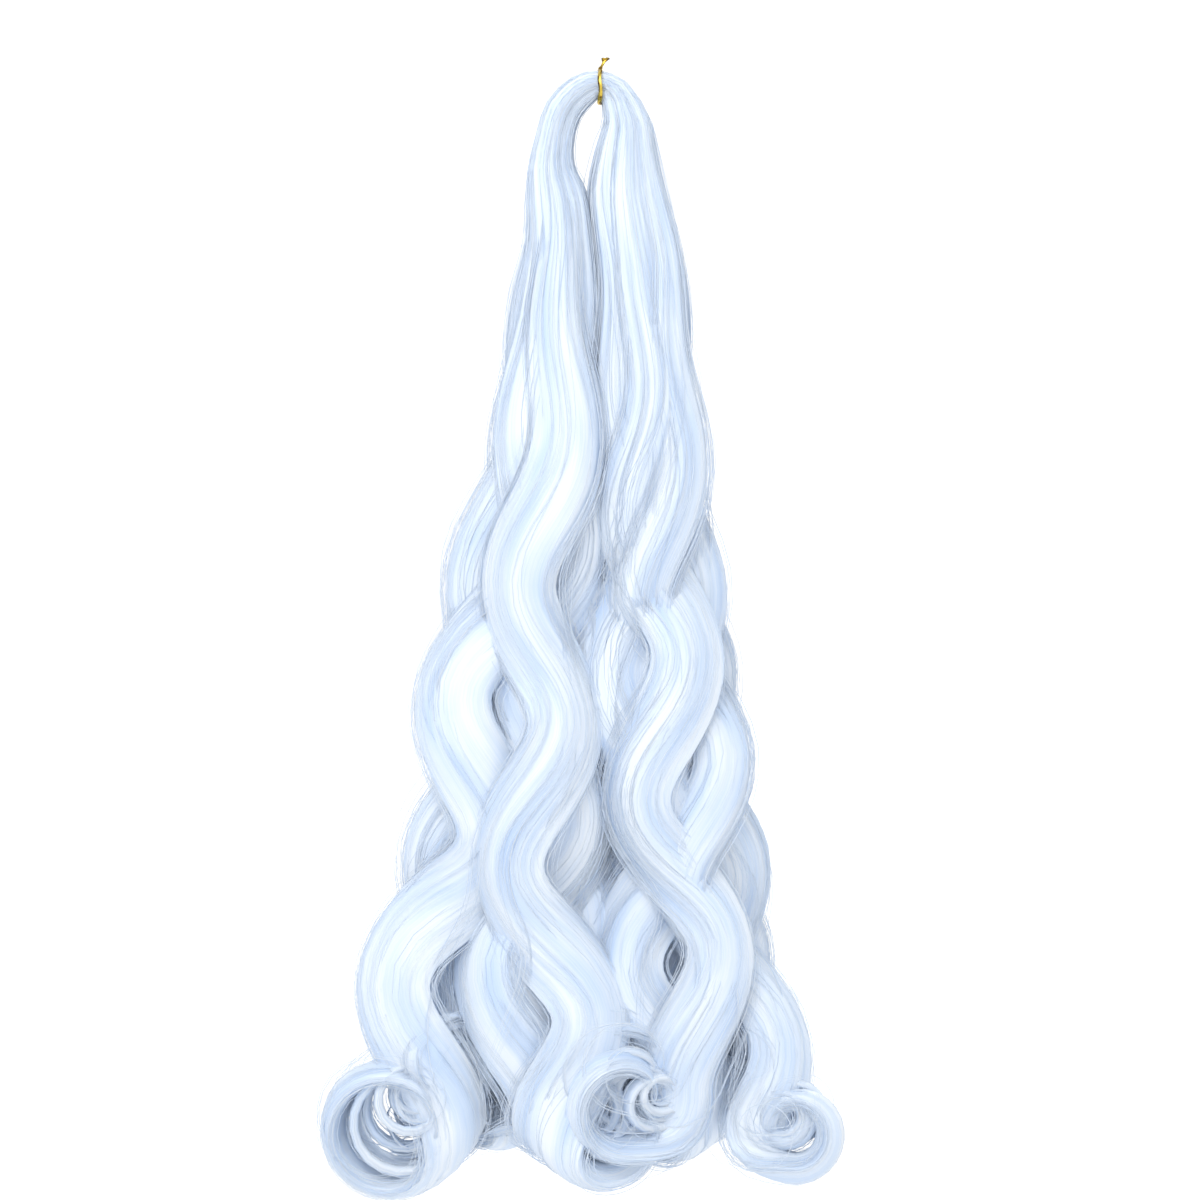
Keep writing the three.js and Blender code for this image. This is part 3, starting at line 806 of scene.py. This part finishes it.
def make_tie(material):
    highest, lowest, deepest = bundle_under_tie()
    gap = TIE_CLEARANCE + TIE_THICKNESS / 2
    half_height = (highest - lowest) / 2 + gap
    fold_middle = (highest + lowest) / 2
    loop = loop_strip(fold_middle, half_height, deepest + gap)
    ends = [end_strip(fold_middle + half_height, start) for start in (0, math.pi)]
    add_piece(tube_mesh("twist_tie_foil", [loop, *ends]), material, "twist_tie")


# Materials

class Nodes:
    """Short ways to add and join the nodes of one material."""

    def __init__(self, name):
        self.material = bpy.data.materials.new(name)
        self.material.use_nodes = True
        self.tree = self.material.node_tree
        self.shader = self.tree.nodes["Principled BSDF"]

    def add(self, kind, **settings):
        node = self.tree.nodes.new(kind)
        for name, value in settings.items():
            setattr(node, name, value)
        return node

    def join(self, output, socket):
        self.tree.links.new(output, socket)

    def streaks(self, vector, per_metre_across, per_metre_along, detail):
        """Noise drawn out along the fibres."""
        mapping = self.add("ShaderNodeMapping")
        mapping.inputs["Scale"].default_value = (per_metre_across, per_metre_along, 1)
        self.join(vector, mapping.inputs["Vector"])
        noise = self.add("ShaderNodeTexNoise")
        noise.inputs["Scale"].default_value = 1
        noise.inputs["Detail"].default_value = detail
        self.join(mapping.outputs["Vector"], noise.inputs["Vector"])
        return noise.outputs["Fac"]

    def math(self, operation, first, second):
        node = self.add("ShaderNodeMath", operation=operation)
        for socket, value in zip(node.inputs, (first, second)):
            if isinstance(value, (int, float)):
                socket.default_value = value
            else:
                self.join(value, socket)
        return node.outputs["Value"]

    def spread(self, value, low, high, to_low, to_high):
        node = self.add("ShaderNodeMapRange")
        self.join(value, node.inputs["Value"])
        node.inputs["From Min"].default_value = low
        node.inputs["From Max"].default_value = high
        node.inputs["To Min"].default_value = to_low
        node.inputs["To Max"].default_value = to_high
        return node.outputs["Result"]


def hair_material():
    nodes = Nodes("white_hair")
    uv = nodes.add("ShaderNodeUVMap", uv_map="fibre").outputs["UV"]
    fine = nodes.streaks(uv, 1900, 7, 2)
    medium = nodes.streaks(uv, 420, 4, 3)
    broad = nodes.streaks(uv, 110, 14, 2)
    both = nodes.math("ADD", nodes.math("MULTIPLY", fine, 0.5), nodes.math("MULTIPLY", medium, 0.5))
    streaks_and_painted_light = nodes.math("ADD", nodes.math("MULTIPLY", both, 0.4), nodes.math("MULTIPLY", broad, 0.6))
    # Broad streaks in this colour are painted highlight and painted shade: whiter and bluer patches, set
    # at random along the locks. The fine and medium streaks are the fibres' own tone.
    ramp = nodes.add("ShaderNodeValToRGB")
    ramp.color_ramp.elements[0].position = 0.36
    ramp.color_ramp.elements[0].color = (0.58, 0.715, 0.92, 1)
    ramp.color_ramp.elements[1].position = 0.6
    ramp.color_ramp.elements[1].color = (0.85, 0.905, 0.97, 1)
    nodes.join(streaks_and_painted_light, ramp.inputs["Fac"])
    nodes.join(ramp.outputs["Color"], nodes.shader.inputs["Base Color"])
    nodes.join(nodes.spread(fine, 0.3, 0.7, 0.32, 0.46), nodes.shader.inputs["Roughness"])
    bump = nodes.add("ShaderNodeBump")
    bump.inputs["Strength"].default_value = 0.3
    bump.inputs["Distance"].default_value = 0.0004
    nodes.join(both, bump.inputs["Height"])
    nodes.join(bump.outputs["Normal"], nodes.shader.inputs["Normal"])
    tangent = nodes.add("ShaderNodeTangent", direction_type="UV_MAP", uv_map="fibre")
    nodes.join(tangent.outputs["Tangent"], nodes.shader.inputs["Tangent"])
    nodes.shader.inputs["Anisotropic"].default_value = 0.7
    nodes.shader.inputs["Specular IOR Level"].default_value = 0.8
    return nodes.material


def foil_material():
    nodes = Nodes("gold_foil_film")
    uv = nodes.add("ShaderNodeUVMap", uv_map="fibre").outputs["UV"]
    wrinkles_and_painted_shade = nodes.streaks(uv, 500, 240, 3)
    # The dark brown patches in the foil's colour are painted shade and painted dark reflection on the
    # film. The same noise also gives its wrinkles in bump and roughness.
    ramp = nodes.add("ShaderNodeValToRGB")
    ramp.color_ramp.elements[0].position = 0.4
    ramp.color_ramp.elements[0].color = (0.16, 0.08, 0.01, 1)
    ramp.color_ramp.elements[1].position = 0.54
    ramp.color_ramp.elements[1].color = (0.86, 0.62, 0.1, 1)
    nodes.join(wrinkles_and_painted_shade, ramp.inputs["Fac"])
    nodes.join(ramp.outputs["Color"], nodes.shader.inputs["Base Color"])
    nodes.join(nodes.spread(wrinkles_and_painted_shade, 0.3, 0.7, 0.2, 0.4), nodes.shader.inputs["Roughness"])
    bump = nodes.add("ShaderNodeBump")
    bump.inputs["Strength"].default_value = 0.6
    bump.inputs["Distance"].default_value = 0.0002
    nodes.join(wrinkles_and_painted_shade, bump.inputs["Height"])
    nodes.join(bump.outputs["Normal"], nodes.shader.inputs["Normal"])
    nodes.shader.inputs["Metallic"].default_value = 1
    return nodes.material


def paper_material():
    """Pale paper that glows, brighter behind the hank than in front of it: painted light, which also
    lights the hank.
    """
    nodes = Nodes("glowing_backdrop_paper")
    nodes.shader.inputs["Base Color"].default_value = (0.35, 0.35, 0.35, 1)
    nodes.shader.inputs["Roughness"].default_value = 0.9
    nodes.shader.inputs["Emission Color"].default_value = (1, 1, 1, 1)
    place = nodes.add("ShaderNodeTexCoord").outputs["Object"]
    apart = nodes.add("ShaderNodeSeparateXYZ")
    nodes.join(place, apart.inputs["Vector"])
    # The paper's glow is painted light, stronger behind the hank than in front of it.
    glow = nodes.spread(apart.outputs["Y"], -2, 2, 0.5, 0.8)
    nodes.join(glow, nodes.shader.inputs["Emission Strength"])
    return nodes.material


# The studio

FLOOR_DROP = 0.12  # from the lowest curl to the floor
FLOOR_RADII = (0.01, 1.35, 2.7, 4.5)
BACKDROP_BEND = 1.5
BACKDROP_BEND_STEPS = 12
BACKDROP_HEIGHT = 4
BACKDROP_SIDES = 64

# Round lights that face the middle of the hank: name, place, size and power in watts.
LIGHTS = (
    ("key", (-0.4, -1.1, 0.7), 0.9, 10.5),
    ("low_key", (0.7, -1.9, -0.5), 1.2, 1.2),
    ("back", (0.6, 1.9, 1.1), 0.8, 8),
)
AIR_COLOR = (0.9, 0.95, 1, 1)
AIR_BRIGHTNESS = 0.8


def backdrop_profile():
    """Radius and height of the backdrop's rings, from the floor's middle to the top of the wall."""
    floor = cad_low.z - FLOOR_DROP
    profile = [(radius, floor) for radius in FLOOR_RADII]
    for step in range(1, BACKDROP_BEND_STEPS + 1):
        angle = math.pi / 2 * step / BACKDROP_BEND_STEPS
        out = BACKDROP_BEND * math.sin(angle)
        up = BACKDROP_BEND * (1 - math.cos(angle))
        profile.append((FLOOR_RADII[-1] + out, floor + up))
    profile.append((FLOOR_RADII[-1] + BACKDROP_BEND, floor + BACKDROP_HEIGHT))
    return profile


def make_backdrop():
    """A round pale floor whose edge bends up into a wall all round."""
    profile = backdrop_profile()
    sides = BACKDROP_SIDES
    points = []
    for radius, height in profile:
        for s in range(sides):
            angle = 2 * math.pi * s / sides
            points.append((radius * math.cos(angle), radius * math.sin(angle), height))
    faces = [tuple(range(sides))]
    for ring in range(len(profile) - 1):
        for s in range(sides):
            a, b = ring * sides + s, ring * sides + (s + 1) % sides
            faces.append((a, a + sides, b + sides, b))
    mesh = bpy.data.meshes.new("backdrop")
    mesh.from_pydata(points, [], faces)
    mesh.shade_smooth()
    mesh.materials.append(paper_material())
    backdrop = bpy.data.objects.new("backdrop", mesh)
    bpy.context.scene.collection.objects.link(backdrop)


def add_light(name, place, size, power, aim):
    data = bpy.data.lights.new(name, "AREA")
    data.shape = "DISK"
    data.size = size
    data.energy = power
    light = bpy.data.objects.new(name, data)
    light.location = place
    light.rotation_euler = (aim - Vector(place)).to_track_quat("-Z", "Y").to_euler()
    bpy.context.scene.collection.objects.link(light)


def make_studio():
    make_backdrop()
    for name, place, size, power in LIGHTS:
        add_light(name, place, size, power, aim=(cad_low + cad_high) / 2)
    world = bpy.data.worlds.new("studio_air")
    world.use_nodes = True
    world.node_tree.nodes["Background"].inputs["Color"].default_value = AIR_COLOR
    world.node_tree.nodes["Background"].inputs["Strength"].default_value = AIR_BRIGHTNESS
    bpy.context.scene.world = world
    bpy.context.scene.view_settings.view_transform = "Standard"


# The camera stands straight in front. The picture is 600 mm wide at the hank and its middle is 271 mm
# below the tip of the tie.
CAMERA_LENS = 100
CAMERA_SENSOR = 36
PICTURE_WIDTH = 0.6
PICTURE_MIDDLE = (-0.003, -0.271)


def make_camera():
    data = bpy.data.cameras.new("front")
    data.lens = CAMERA_LENS
    data.sensor_width = CAMERA_SENSOR
    camera = bpy.data.objects.new("front", data)
    distance = PICTURE_WIDTH * CAMERA_LENS / CAMERA_SENSOR
    camera.location = (PICTURE_MIDDLE[0], -distance, PICTURE_MIDDLE[1])
    camera.rotation_euler = (math.pi / 2, 0, 0)
    bpy.context.scene.collection.objects.link(camera)
    bpy.context.scene.camera = camera


make_camera()
make_hair(hair_material())
make_tie(foil_material())
make_studio()
